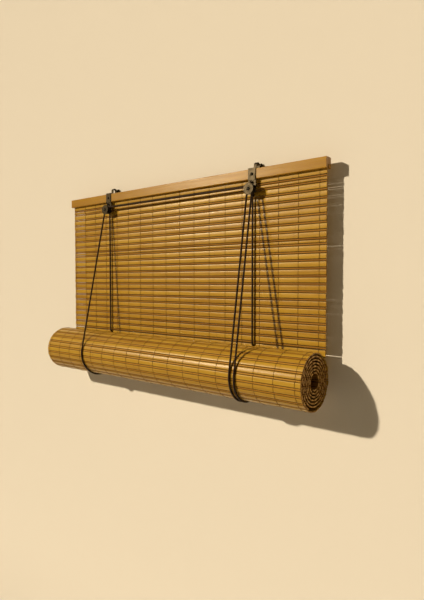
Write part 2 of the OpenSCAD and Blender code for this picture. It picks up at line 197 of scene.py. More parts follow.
class Net:
    """Adds nodes to a tree. A value is a number, a tuple, a data block, a node or a node's output."""

    def __init__(self, tree):
        self.tree = tree

    def add(self, kind, values=None, **settings):
        node = self.tree.nodes.new(kind)
        for name, setting in settings.items():
            setattr(node, name, setting)
        for place, value in (values or {}).items():
            self.feed(node.inputs[place], value)
        return node

    def feed(self, socket, value):
        if isinstance(value, bpy.types.Node):
            value = value.outputs[0]
        if isinstance(value, bpy.types.NodeSocket):
            self.tree.links.new(value, socket)
        else:
            socket.default_value = value

    def math(self, operation, first, second=0.0, third=0.0):
        values = {0: first, 1: second, 2: third}
        return self.add("ShaderNodeMath", values, operation=operation).outputs[0]

    def vector(self, x=0.0, y=0.0, z=0.0):
        return self.add("ShaderNodeCombineXYZ", {0: x, 1: y, 2: z}).outputs[0]

    def parts(self, vector):
        return self.add("ShaderNodeSeparateXYZ", {0: vector}).outputs

    def between(self, value, low, high, to_low=0.0, to_high=1.0, kind="LINEAR"):
        values = {0: value, 1: low, 2: high, 3: to_low, 4: to_high}
        return self.add("ShaderNodeMapRange", values, interpolation_type=kind).outputs[0]

    def tint(self, factor, first, second):
        values = {0: factor, 6: first, 7: second}
        return self.add("ShaderNodeMix", values, data_type="RGBA").outputs[2]

    def noise(self, vector, scale, detail=3.0, roughness=0.5):
        values = {"Vector": vector, "Scale": scale, "Detail": detail, "Roughness": roughness}
        return self.add("ShaderNodeTexNoise", values)

    def vectors(self, operation, first, second):
        values = {0: first, 1: second}
        return self.add("ShaderNodeVectorMath", values, operation=operation).outputs[0]

    def scaled(self, vector, factor):
        values = {0: vector, 3: factor}
        return self.add("ShaderNodeVectorMath", values, operation="SCALE").outputs[0]

    def painted(self, name):
        """A named value of the surface, for a shader."""
        return self.add("ShaderNodeAttribute", attribute_name=name).outputs["Fac"]

    def own(self, name):
        """A named value of each point, for a shape."""
        values = {"Name": name}
        return self.add("GeometryNodeInputNamedAttribute", values, data_type="FLOAT").outputs[0]

    def store(self, geometry, name, value, domain="POINT"):
        values = {"Geometry": geometry, "Name": name, "Value": value}
        return self.add("GeometryNodeStoreNamedAttribute", values, data_type="FLOAT", domain=domain)

    def place(self):
        return self.add("GeometryNodeInputPosition").outputs[0]

    def sweep(self, line, section):
        values = {"Curve": line, "Profile Curve": section, "Fill Caps": True}
        return self.add("GeometryNodeCurveToMesh", values)


def rgb(red, green, blue):
    return (red, green, blue, 1.0)


def put(name, data):
    """A new object in the scene."""
    thing = bpy.data.objects.new(name, data)
    bpy.context.scene.collection.objects.link(thing)
    return thing


def start_group(name, kind, inputs, outputs):
    tree = bpy.data.node_groups.new(name, kind)
    for in_out, sockets in (("INPUT", inputs), ("OUTPUT", outputs)):
        for label, socket_type in sockets:
            tree.interface.new_socket(label, in_out=in_out, socket_type="NodeSocket" + socket_type)
    net = Net(tree)
    return tree, net, net.add("NodeGroupInput").outputs


# Shader groups that several finishes share


def long_grain():
    """Fibres that run along X: broad streaks and fine hairs, each from 0 to 1."""
    inputs = [("Along", "Float"), ("Across", "Float"), ("Shift", "Float")]
    outputs = [("Streak", "Float"), ("Hair", "Float")]
    tree, net, given = start_group("long grain", "ShaderNodeTree", inputs, outputs)
    x, y, z = net.parts(net.add("ShaderNodeTexCoord").outputs["Object"])
    along = net.math("MULTIPLY_ADD", x, given["Along"], net.math("MULTIPLY", given["Shift"], 37.0))
    side = net.math("MULTIPLY", y, given["Across"])
    up = net.math("MULTIPLY", z, given["Across"])
    broad = net.vector(along, side, up)
    streak = net.noise(broad, 1.0, 4.0, 0.6)
    fine = net.vectors("MULTIPLY", broad, (2.5, 5.0, 5.0))
    hair = net.noise(fine, 1.0, 2.0, 0.7)
    values = {
        "Streak": net.between(streak.outputs["Fac"], 0.3, 0.7),
        "Hair": net.between(hair.outputs["Fac"], 0.35, 0.7),
    }
    net.add("NodeGroupOutput", values)
    return tree


def handled_patches():
    """Soft patches and specks left by hands, dust and age, each from 0 to 1."""
    inputs = [("Patch Size", "Float"), ("Speck Size", "Float")]
    outputs = [("Patch", "Float"), ("Speck", "Float")]
    tree, net, given = start_group("handled patches", "ShaderNodeTree", inputs, outputs)
    place = net.add("ShaderNodeTexCoord").outputs["Object"]
    patch = net.noise(place, net.math("DIVIDE", 1.0, given["Patch Size"]), 4.0, 0.55)
    speck = net.noise(place, net.math("DIVIDE", 1.0, given["Speck Size"]), 2.0, 0.6)
    values = {
        "Patch": net.between(patch.outputs["Fac"], 0.35, 0.65),
        "Speck": net.between(speck.outputs["Fac"], 0.5, 0.72),
    }
    net.add("NodeGroupOutput", values)
    return tree


GRAIN = long_grain()
PATCHES = handled_patches()
# Near black brown painted along the long edges of slats and sticks: painted shade for the gaps between
# rows.
EDGE_SHADE = rgb(0.03, 0.010, 0.002)


def start_finish(name, **plain):
    """A material with its shader. Plain values are the same all over the surface."""
    material = bpy.data.materials.new(name)
    material.use_nodes = True
    net = Net(material.node_tree)
    shader = material.node_tree.nodes["Principled BSDF"]
    for label, value in plain.items():
        shader.inputs[label.replace("_", " ")].default_value = value
    return material, net, shader


def bump(net, shader, height, strength, distance):
    values = {"Strength": strength, "Distance": distance, "Height": height}
    net.feed(shader.inputs["Normal"], net.add("ShaderNodeBump", values))


def end_face(net):
    """1 on faces cut square across the length, 0 elsewhere."""
    facing = net.parts(net.add("ShaderNodeNewGeometry").outputs["True Normal"])[0]
    return net.between(net.math("ABSOLUTE", facing), 0.75, 0.85)


def bamboo(name, deep, middle, pale, cut, joint_spacing, shade_start, roughness, shine):
    """Lacquered bamboo: a tone for each slat, fibres along it, joints across it and painted shade at
    its long edges.
    """
    material, net, shader = start_finish(name, Specular_IOR_Level=shine)
    tone = net.painted("tone")
    values = {"Along": 9.0, "Across": 420.0, "Shift": tone}
    grain = net.add("ShaderNodeGroup", values, node_tree=GRAIN).outputs
    patches = net.add("ShaderNodeGroup", {0: 0.09, 1: 0.004}, node_tree=PATCHES).outputs
    mixed = net.math("MULTIPLY_ADD", tone, 0.35, 0.08)
    mixed = net.math("MULTIPLY_ADD", grain["Streak"], 0.35, mixed)
    mixed = net.math("MULTIPLY_ADD", patches["Patch"], 0.15, mixed)
    ramp = net.add("ShaderNodeValToRGB", {0: mixed})
    ramp.color_ramp.elements[0].color = deep
    ramp.color_ramp.elements[0].position = 0.1
    ramp.color_ramp.elements[1].color = pale
    ramp.color_ramp.elements[1].position = 0.95
    ramp.color_ramp.elements.new(0.5).color = middle
    colour = net.tint(net.math("MULTIPLY", grain["Hair"], 0.3), ramp.outputs["Color"], deep)
    x = net.parts(net.add("ShaderNodeTexCoord").outputs["Object"])[0]
    turn = net.math("MULTIPLY_ADD", x, 1 / joint_spacing, net.math("MULTIPLY", tone, 9.7))
    off_joint = net.math("ABSOLUTE", net.math("SUBTRACT", net.math("FRACT", turn), 0.5))
    half_joint = JOINT_HALF / joint_spacing
    joint = net.between(off_joint, half_joint * 0.5, half_joint * 1.6, 1.0, 0.0, "SMOOTHSTEP")
    colour = net.tint(net.math("MULTIPLY", joint, 0.45), colour, deep)
    # Painted shade: each slat or stick darkens towards its long edges, standing in for the shade in the
    # gaps between rows.
    rim = net.painted("rim")
    gap_shade = net.between(rim, shade_start, 0.96, 0.0, 0.95, "SMOOTHSTEP")
    colour = net.tint(gap_shade, colour, EDGE_SHADE)
    colour = net.tint(end_face(net), colour, cut)
    net.feed(shader.inputs["Base Color"], colour)
    rough = net.math("MULTIPLY_ADD", grain["Hair"], 0.1, roughness)
    rough = net.math("ADD", rough, net.between(rim, 0.68, 0.9, 0.0, 0.35, "SMOOTHSTEP"))
    net.feed(shader.inputs["Roughness"], net.math("MULTIPLY_ADD", patches["Patch"], 0.05, rough))
    height = net.math("MULTIPLY_ADD", grain["Hair"], -0.5, net.math("MULTIPLY", joint, 0.8))
    height = net.math("MULTIPLY_ADD", grain["Streak"], 0.4, height)
    bump(net, shader, height, 0.18, 0.4 * MM)
    return material


def rail_wood():
    """Planed and varnished softwood, with darker end grain."""
    material, net, shader = start_finish("varnished rail", Specular_IOR_Level=0.3)
    values = {"Along": 4.0, "Across": 130.0, "Shift": 0.3}
    grain = net.add("ShaderNodeGroup", values, node_tree=GRAIN).outputs
    patches = net.add("ShaderNodeGroup", {0: 0.12, 1: 0.003}, node_tree=PATCHES).outputs
    mixed = net.math("MULTIPLY", patches["Patch"], 0.3)
    mixed = net.math("MULTIPLY_ADD", grain["Streak"], 0.7, mixed)
    colour = net.tint(mixed, rgb(0.325, 0.170, 0.015), rgb(0.425, 0.245, 0.027))
    colour = net.tint(net.math("MULTIPLY", grain["Hair"], 0.28), colour, rgb(0.27, 0.12, 0.03))
    colour = net.tint(net.math("MULTIPLY", end_face(net), 0.7), colour, rgb(0.29, 0.14, 0.04))
    net.feed(shader.inputs["Base Color"], colour)
    net.feed(shader.inputs["Roughness"], net.math("MULTIPLY_ADD", grain["Hair"], 0.12, 0.27))
    bump(net, shader, grain["Hair"], 0.2, 0.25 * MM)
    return material


def painted_iron(name, dark, worn, roughness, metal):
    """Dark painted metal, or plastic with no metal, with rubbed patches and specks of dust."""
    material, net, shader = start_finish(name, Metallic=metal, Specular_IOR_Level=0.35)
    patches = net.add("ShaderNodeGroup", {0: 0.006, 1: 0.0012}, node_tree=PATCHES).outputs
    colour = net.tint(patches["Patch"], dark, worn)
    colour = net.tint(net.math("MULTIPLY", patches["Speck"], 0.12), colour, rgb(0.2, 0.17, 0.11))
    net.feed(shader.inputs["Base Color"], colour)
    rough = net.math("MULTIPLY_ADD", patches["Patch"], -0.12, roughness + 0.06)
    net.feed(shader.inputs["Roughness"], net.math("MULTIPLY_ADD", patches["Speck"], 0.1, rough))
    bump(net, shader, patches["Speck"], 0.15, 0.1 * MM)
    return material


def spun_fibre(name, deep, pale, sheen, fleck_size):
    """Twisted thread: painted shade in the lay's hollows, with a few pale hairs."""
    material, net, shader = start_finish(name, Sheen_Weight=sheen, Sheen_Roughness=0.5)
    crest = net.painted("crest")
    patches = net.add("ShaderNodeGroup", {0: 0.02, 1: fleck_size}, node_tree=PATCHES).outputs
    # Painted shade: the colour darkens from each strand's crest into the hollows between the strands.
    mixed = net.math("MULTIPLY_ADD", patches["Patch"], 0.3, net.math("MULTIPLY", crest, 0.6))
    colour = net.tint(mixed, deep, pale)
    colour = net.tint(net.math("MULTIPLY", patches["Speck"], 0.3), colour, pale)
    net.feed(shader.inputs["Base Color"], colour)
    net.feed(shader.inputs["Roughness"], net.math("MULTIPLY_ADD", patches["Speck"], 0.12, 0.74))
    bump(net, shader, patches["Speck"], 0.25, 0.15 * MM)
    return material


SLAT_FINISH = bamboo(
    "amber slat", rgb(0.30, 0.155, 0.0135), rgb(0.435, 0.258, 0.025), rgb(0.52, 0.340, 0.042),
    cut=rgb(0.34, 0.18, 0.04), joint_spacing=0.31, shade_start=0.76, roughness=0.26, shine=0.45,
)
STICK_FINISH = bamboo(
    "brown stick", rgb(0.21, 0.090, 0.012), rgb(0.32, 0.160, 0.024), rgb(0.41, 0.220, 0.038),
    cut=rgb(0.38, 0.21, 0.06), joint_spacing=0.27, shade_start=0.48, roughness=0.6, shine=0.2,
)
RING_FINISH = bamboo(
    "rolled slat", rgb(0.31, 0.160, 0.013), rgb(0.445, 0.266, 0.025), rgb(0.535, 0.350, 0.042),
    cut=rgb(0.34, 0.18, 0.04), joint_spacing=0.31, shade_start=0.83, roughness=0.26, shine=0.45,
)
RING_STICK_FINISH = bamboo(
    "rolled stick", rgb(0.26, 0.115, 0.012), rgb(0.39, 0.200, 0.022), rgb(0.48, 0.270, 0.036),
    cut=rgb(0.38, 0.21, 0.06), joint_spacing=0.27, shade_start=0.62, roughness=0.5, shine=0.25,
)
# The inner turns are the same bamboo painted much darker than the outer turn: painted shade inside the
# roll between its turns. Their cut ends are paler.
SHADED_TURN_FINISH = bamboo(
    "inner turn", rgb(0.16, 0.07, 0.008), rgb(0.25, 0.125, 0.014), rgb(0.34, 0.19, 0.028),
    cut=rgb(0.50, 0.275, 0.075), joint_spacing=0.31, shade_start=0.8, roughness=0.3, shine=0.45,
)
RAIL_FINISH = rail_wood()
IRON_FINISH = painted_iron(
    "dark iron", rgb(0.034, 0.025, 0.0115), rgb(0.046, 0.034, 0.0165), roughness=0.36, metal=0.6,
)
PIN_FINISH = painted_iron(
    "black iron", rgb(0.008, 0.006, 0.004), rgb(0.022, 0.017, 0.01), roughness=0.5, metal=0.4,
)
SHEAVE_FINISH = painted_iron(
    "black sheave", rgb(0.018, 0.016, 0.013), rgb(0.035, 0.031, 0.025), roughness=0.55, metal=0.0,
)
CORD_FINISH = spun_fibre(
    "brown cord", rgb(0.009, 0.003, 0.001), rgb(0.034, 0.013, 0.004), sheen=0.04, fleck_size=0.0008,
)
THREAD_FINISH = spun_fibre(
    "warp thread", rgb(0.12, 0.055, 0.009), rgb(0.24, 0.125, 0.024), sheen=0.06, fleck_size=0.0008,
)


# Geometry trees


def start_shape(name, inputs):
    sockets = [("Geometry", "Geometry")] + inputs + [("Finish", "Material")]
    return start_group(name, "GeometryNodeTree", sockets, [("Geometry", "Geometry")])


def end_shape(net, geometry, finish, keep_edges=True):
    """Realizes what repeats, smooths it apart from its sharp edges, and gives it its finish."""
    whole = net.add("GeometryNodeRealizeInstances", {0: geometry})
    whole = net.add("GeometryNodeSetShadeSmooth", {0: whole, 2: True}, domain="FACE")
    if keep_edges:
        angle = net.add("GeometryNodeInputMeshEdgeAngle").outputs[0]
        sharp = net.add("FunctionNodeCompare", {0: angle, 1: SHARP_ANGLE}, operation="GREATER_THAN")
        values = {0: whole, 1: sharp, 2: False}
        whole = net.add("GeometryNodeSetShadeSmooth", values, domain="EDGE")
    done = net.add("GeometryNodeSetMaterial", {0: whole, 2: finish})
    net.add("NodeGroupOutput", {0: done})


def one_slat(net, given):
    """A straight slat along X, centred on the origin, with crowned faces and rounded edges."""
    half = net.math("MULTIPLY", given["Length"], 0.5)
    ends = {"Start": net.vector(net.math("MULTIPLY", half, -1.0)), "End": net.vector(half)}
    line = net.add("GeometryNodeCurvePrimitiveLine", ends)
    line = net.add("GeometryNodeResampleCurve", {"Curve": line, "Count": SLAT_STEPS}, mode="COUNT")
    section = net.add("GeometryNodeCurvePrimitiveCircle", {"Resolution": SLAT_SIDES, "Radius": 0.5})
    x, y = net.parts(net.place())[:2]
    sides = []
    for value, size in ((x, given["Thickness"]), (y, given["Width"])):
        share = net.math("MULTIPLY", net.math("ABSOLUTE", value), 2.0)
        share = net.math("POWER", share, given["Roundness"])
        signed = net.math("MULTIPLY", net.math("SIGN", value), share)
        sides.append(net.math("MULTIPLY", signed, net.math("MULTIPLY", size, 0.5)))
    section = net.store(section, "rim", share)
    section = net.add("GeometryNodeSetPosition", {"Geometry": section, "Position": net.vector(*sides)})
    return net.sweep(line, section)


def placed_slats(net, given, points, rotation=None, stretch=1.0):
    """Puts a slat at each point. Each has its own tone and its own small differences of size."""
    seed = given["Seed"]
    bounds = {0: net.vector(0.9975, 0.95, given["Least Width"]), 1: (1.0, 1.03, 1.015), 8: seed}
    size = net.add("FunctionNodeRandomValue", bounds, data_type="FLOAT_VECTOR").outputs[0]
    size = net.vectors("MULTIPLY", size, net.vector(1.0, 1.0, stretch))
    values = {"Points": points, "Instance": one_slat(net, given), "Scale": size}
    if rotation is not None:
        values["Rotation"] = rotation
    slats = net.add("GeometryNodeInstanceOnPoints", values)
    values = {2: 0.0, 3: 1.0, 8: net.math("ADD", seed, 1.0)}
    tone = net.add("FunctionNodeRandomValue", values, data_type="FLOAT").outputs[1]
    slats = net.store(slats, "tone", tone, "INSTANCE")
    whole = net.add("GeometryNodeRealizeInstances", {0: slats})
    x = net.parts(net.place())[0]
    where = net.vector(net.math("MULTIPLY", x, 5.0), net.math("MULTIPLY", net.own("tone"), 61.0))
    sway = net.noise(where, 1.0, 1.0).outputs["Color"]
    sway = net.vectors("SUBTRACT", sway, (0.5, 0.5, 0.5))
    sway = net.scaled(sway, given["Sway"])
    sway = net.vectors("MULTIPLY", sway, (0.0, 1.0, 1.0))
    return net.add("GeometryNodeSetPosition", {"Geometry": whole, "Offset": sway})


SLAT_INPUTS = [
    ("Length", "Float"), ("Width", "Float"), ("Thickness", "Float"),
    ("Roundness", "Float"), ("Least Width", "Float"), ("Sway", "Float"), ("Seed", "Int"),
]


def hanging_slats():
    """A slat at each of the mesh's points, as wide as its point says, with a slot for each cord."""
    slots = ("Left Slot", "Right Slot")
    inputs = SLAT_INPUTS + [("Slot Size", "Vector")] + [(slot, "Vector") for slot in slots]
    tree, net, given = start_shape("hanging slats", inputs)
    stretch = net.math("DIVIDE", net.own("width"), given["Width"])
    slats = placed_slats(net, given, given["Geometry"], stretch=stretch)
    for slot in slots:
        box = net.add("GeometryNodeMeshCube", {"Size": given["Slot Size"]})
        box = net.add("GeometryNodeTransform", {"Geometry": box, "Translation": given[slot]})
        values = {"Mesh 1": slats, "Mesh 2": box}
        slats = net.add("GeometryNodeMeshBoolean", values, operation="DIFFERENCE", solver="EXACT")
    end_shape(net, slats, given["Finish"])
    return tree


def bent_slats(net, given, slats):
    """Bends each slat across its width towards the curve of its own turn."""
    reach, angle = net.own("reach"), net.own("angle")
    place = net.place()
    x, across, up = net.parts(net.vectors("SUBTRACT", place, given["Centre"]))
    cosine = net.math("COSINE", angle)
    sine = net.math("SINE", angle)
    out = net.math("MULTIPLY_ADD", up, sine, net.math("MULTIPLY", across, cosine))
    side = net.math("SUBTRACT", net.math("MULTIPLY", up, cosine), net.math("MULTIPLY", across, sine))
    curl = net.math("ADD", net.math("DIVIDE", side, reach), angle)
    across = net.math("MULTIPLY", out, net.math("COSINE", curl))
    up = net.math("MULTIPLY", out, net.math("SINE", curl))
    wound = net.vectors("ADD", net.vector(x, across, up), given["Centre"])
    shift = net.scaled(net.vectors("SUBTRACT", wound, place), given["Bend"])
    return net.add("GeometryNodeSetPosition", {"Geometry": slats, "Offset": shift})


def wound_slats():
    """Slats wound inwards from a radius. With no turn pitch they make a ring."""
    inputs = SLAT_INPUTS + [
        ("Count", "Int"), ("Pitch", "Float"), ("Start", "Float"), ("Radius", "Float"),
        ("Turn Pitch", "Float"), ("Start Angle", "Float"), ("Centre", "Vector"), ("Bend", "Float"),
    ]
    tree, net, given = start_shape("wound slats", inputs)
    points = net.add("GeometryNodeMeshLine", {"Count": given["Count"]})
    index = net.add("GeometryNodeInputIndex").outputs[0]
    wound = net.math("MULTIPLY_ADD", index, given["Pitch"], given["Start"])
    share = net.math("DIVIDE", wound, math.pi)
    radius = given["Radius"]
    spent = net.math("MULTIPLY", share, given["Turn Pitch"])
    root = net.math("SQRT", net.math("SUBTRACT", net.math("MULTIPLY", radius, radius), spent))
    turns = net.math("DIVIDE", share, net.math("ADD", radius, root))
    reach = net.math("SUBTRACT", radius, net.math("MULTIPLY", turns, given["Turn Pitch"]))
    angle = net.math("MULTIPLY_ADD", turns, -2 * math.pi, given["Start Angle"])
    across = net.math("MULTIPLY", reach, net.math("COSINE", angle))
    up = net.math("MULTIPLY", reach, net.math("SINE", angle))
    place = net.vectors("ADD", net.vector(0.0, across, up), given["Centre"])
    points = net.store(points, "reach", reach)
    points = net.store(points, "angle", angle)
    points = net.add("GeometryNodeSetPosition", {"Geometry": points, "Position": place})
    turned = net.add("FunctionNodeEulerToRotation", {0: net.vector(angle)})
    slats = placed_slats(net, given, points, turned)
    end_shape(net, bent_slats(net, given, slats), given["Finish"])
    return tree


def weave(net, given, phase):
    """How far out a thread lies: on one side of each slat and on the other side of each stick."""
    swing = net.math("COSINE", phase)
    return net.between(swing, -0.92, -0.48, given["Stick Reach"], given["Slat Reach"], "SMOOTHSTEP")


def thread_tube(net, given, line):
    values = {"Resolution": THREAD_SIDES, "Radius": given["Thread Radius"]}
    return net.sweep(line, net.add("GeometryNodeCurvePrimitiveCircle", values))


def along_rail(net, given, tube):
    """One thread at each line along X."""
    span = net.math("MULTIPLY", net.math("SUBTRACT", given["Lines"], 1.0), given["Spacing"])
    first = net.vector(net.math("MULTIPLY_ADD", span, -0.5, given["Shift"]))
    values = {"Count": given["Lines"], "Start Location": first, "Offset": net.vector(given["Spacing"])}
    points = net.add("GeometryNodeMeshLine", values)
    return net.add("GeometryNodeInstanceOnPoints", {"Points": points, "Instance": tube})


THREAD_INPUTS = [
    ("Lines", "Int"), ("Spacing", "Float"), ("Shift", "Float"), ("Thread Radius", "Float"),
]


def hanging_threads():
    """Warp threads along the route that the mesh's edges draw, once at each line."""
    tree, net, given = start_shape("hanging threads", THREAD_INPUTS)
    line = net.add("GeometryNodeMeshToCurve", {0: given["Geometry"]})
    tube = thread_tube(net, given, line)
    end_shape(net, along_rail(net, given, tube), given["Finish"], keep_edges=False)
    return tree


def wound_threads():
    """Warp threads that weave round the roll's outer turn."""
    inputs = THREAD_INPUTS + [
        ("Rows", "Int"), ("Radius", "Float"), ("Start Angle", "Float"), ("Centre", "Vector"),
        ("Slat Reach", "Float"), ("Stick Reach", "Float"),
    ]
    tree, net, given = start_shape("wound threads", inputs)
    values = {"Resolution": net.math("MULTIPLY", given["Rows"], THREAD_STEPS), "Radius": 1.0}
    line = net.add("GeometryNodeCurvePrimitiveCircle", values)
    x, y = net.parts(net.place())[:2]
    angle = net.math("ARCTAN2", y, x)
    passed = net.math("SUBTRACT", angle, given["Start Angle"])
    phase = net.math("MULTIPLY", passed, given["Rows"])
    reach = net.math("ADD", given["Radius"], weave(net, given, phase))
    place = net.vector(0.0, net.math("MULTIPLY", x, reach), net.math("MULTIPLY", y, reach))
    place = net.vectors("ADD", place, given["Centre"])
    line = net.add("GeometryNodeSetPosition", {"Geometry": line, "Position": place})
    tube = thread_tube(net, given, line)
    end_shape(net, along_rail(net, given, tube), given["Finish"], keep_edges=False)
    return tree


def laid_cord():
    """Three strands twisted together along the route that the mesh's edges draw."""
    inputs = [("Radius", "Float"), ("Lay", "Float"), ("Step", "Float"), ("Laid Before", "Float")]
    tree, net, given = start_shape("laid cord", inputs)
    line = net.add("GeometryNodeMeshToCurve", {0: given["Geometry"]})
    line = net.add("GeometryNodeResampleCurve", {"Curve": line, "Length": given["Step"]}, mode="LENGTH")
    along = net.add("GeometryNodeSplineParameter").outputs["Length"]
    along = net.math("ADD", along, given["Laid Before"])
    twist = net.math("DIVIDE", net.math("MULTIPLY", along, 2 * math.pi), given["Lay"])
    line = net.add("GeometryNodeSetCurveTilt", {"Curve": line, "Tilt": twist})
    section = net.add("GeometryNodeCurvePrimitiveCircle", {"Resolution": CORD_SIDES, "Radius": 1.0})
    x, y = net.parts(net.place())[:2]
    lobe = net.math("COSINE", net.math("MULTIPLY", net.math("ARCTAN2", y, x), 3.0))
    size = net.math("MULTIPLY", net.math("MULTIPLY_ADD", lobe, 0.1, 0.9), given["Radius"])
    place = net.vector(net.math("MULTIPLY", x, size), net.math("MULTIPLY", y, size))
    # The crest value is 1 on each strand's crest and 0 in the hollows. spun_fibre paints shade into the
    # hollows from it.
    section = net.store(section, "crest", net.math("MULTIPLY_ADD", lobe, 0.5, 0.5))
    section = net.add("GeometryNodeSetPosition", {"Geometry": section, "Position": place})
    end_shape(net, net.sweep(line, section), given["Finish"], keep_edges=False)
    return tree


def grow(name, tree, values, mesh=None):
    """Runs a geometry tree once and keeps what it makes as a plain mesh."""
    piece = put(name, mesh or bpy.data.meshes.new(name))
    modifier = piece.modifiers.new("shape", "NODES")
    modifier.node_group = tree
    for item in tree.interface.items_tree:
        if item.in_out == "INPUT" and item.name in values:
            modifier[item.identifier] = values[item.name]
    graph = bpy.context.evaluated_depsgraph_get()
    made = bpy.data.meshes.new_from_object(
        piece.evaluated_get(graph), preserve_all_data_layers=True, depsgraph=graph
    )
    piece.modifiers.clear()
    piece.data = made
    return piece


# The flat mat


def shorten(piece):
    """Gives a hanging piece a mesh of its own."""
    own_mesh(piece)


def mat_rows():
    """Centres and widths of the slats and of the sticks, from the top down."""
    slats, sticks = [], []
    top = MAT_TOP
    while True:
        width = TOP_WIDTH if not slats else SLAT_WIDTH
        if len(slats) in NARROW_ROWS:
            width = NARROW_WIDTH
        below = top - width - STICK_WIDTH - 2 * SLAT_GAP
        if below < MAT_FOOT:
            break
        slats.append((top - width / 2, width))
        sticks.append((top - width - SLAT_GAP - STICK_WIDTH / 2, STICK_WIDTH))
        top = below
    last = top - MAT_FOOT - SLAT_GAP
    slats.append((MAT_FOOT + last / 2, last))
    return slats, sticks


def row_points(name, rows, full):
    mesh = bpy.data.meshes.new(name)
    mesh.from_pydata([(0.0, MAT_Y, z) for z, width in rows], [], [])
    widths = mesh.attributes.new("width", "FLOAT", "POINT")
    widths.data.foreach_set("value", [width * full for z, width in rows])
    return mesh


def warp_route(slats, sticks, side):
    """A thread's line: in front of the slats and behind the sticks, or the other way about."""
    over = SLAT_REACH * side
    under = -STICK_REACH * side
    route = []
    for i, (z, width) in enumerate(slats):
        past = width / 2 + 0.1 * MM
        inside = width / 2 - 0.5 * MM
        bends = ((past, 0.75), (inside, 1.0), (0.0, 1.0), (-inside, 1.0), (-past, 0.75))
        for place, share in bends:
            route.append(Vector((0.0, MAT_Y - over * share, z + place)))
        if i < len(sticks):
            route.append(Vector((0.0, MAT_Y - under, sticks[i][0])))
    return route


def add_flat_mat():
    """Slats and sticks in turn, with warp threads woven round them in front and behind."""
    slat_tree = hanging_slats()
    thread_tree = hanging_threads()
    slats, sticks = mat_rows()
    slot_z = over_roll(0.0, MAT_Y - ROLL_Y, LACE_RISE).z + 0.1 * LACE_SLOT
    slot_size = (LACE_SLOT, 6 * MM, 2.2 * LACE_SLOT)
    common = {
        "Length": 2 * MAT_HALF, "Slot Size": slot_size,
        "Left Slot": (-HANGER_X + TIE_X, MAT_Y, slot_z),
        "Right Slot": (HANGER_X + TIE_X, MAT_Y, slot_z),
    }
    wide = grow("mat_slats", slat_tree, {
        **common, "Width": SLAT_WIDTH, "Thickness": SLAT_THICKNESS,
        "Roundness": SLAT_ROUNDNESS, "Least Width": SLAT_LEAST, "Sway": SLAT_SWAY,
        "Seed": 11, "Finish": SLAT_FINISH,
    }, row_points("slat_rows", slats, SLAT_FULL))
    thin = grow("mat_sticks", slat_tree, {
        **common, "Width": STICK_WIDTH, "Thickness": STICK_THICKNESS,
        "Roundness": STICK_ROUNDNESS, "Least Width": STICK_LEAST, "Sway": STICK_SWAY,
        "Seed": 23, "Finish": STICK_FINISH,
    }, row_points("stick_rows", sticks, STICK_FULL))
    woven = {
        "Lines": THREAD_LINES, "Spacing": THREAD_SPACING, "Thread Radius": THREAD_RADIUS,
        "Finish": THREAD_FINISH,
    }
    threads = []
    lines = (("mat_front_threads", FRONT_THREAD_X, 1), ("mat_back_threads", BACK_THREAD_X, -1))
    for name, shift, side in lines:
        route = route_mesh(name, warp_route(slats, sticks, side))
        threads.append(grow(name, thread_tree, {**woven, "Shift": shift}, route))
    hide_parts("woven_mat")
    for piece in [wide, thin] + threads:
        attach(piece, "rail")
        shorten(piece)


# The roll


def wound_length(radius, turns):
    """The length of a spiral that starts at a radius and goes inwards."""
    return math.pi * turns * (2 * radius - TURN_PITCH * turns)


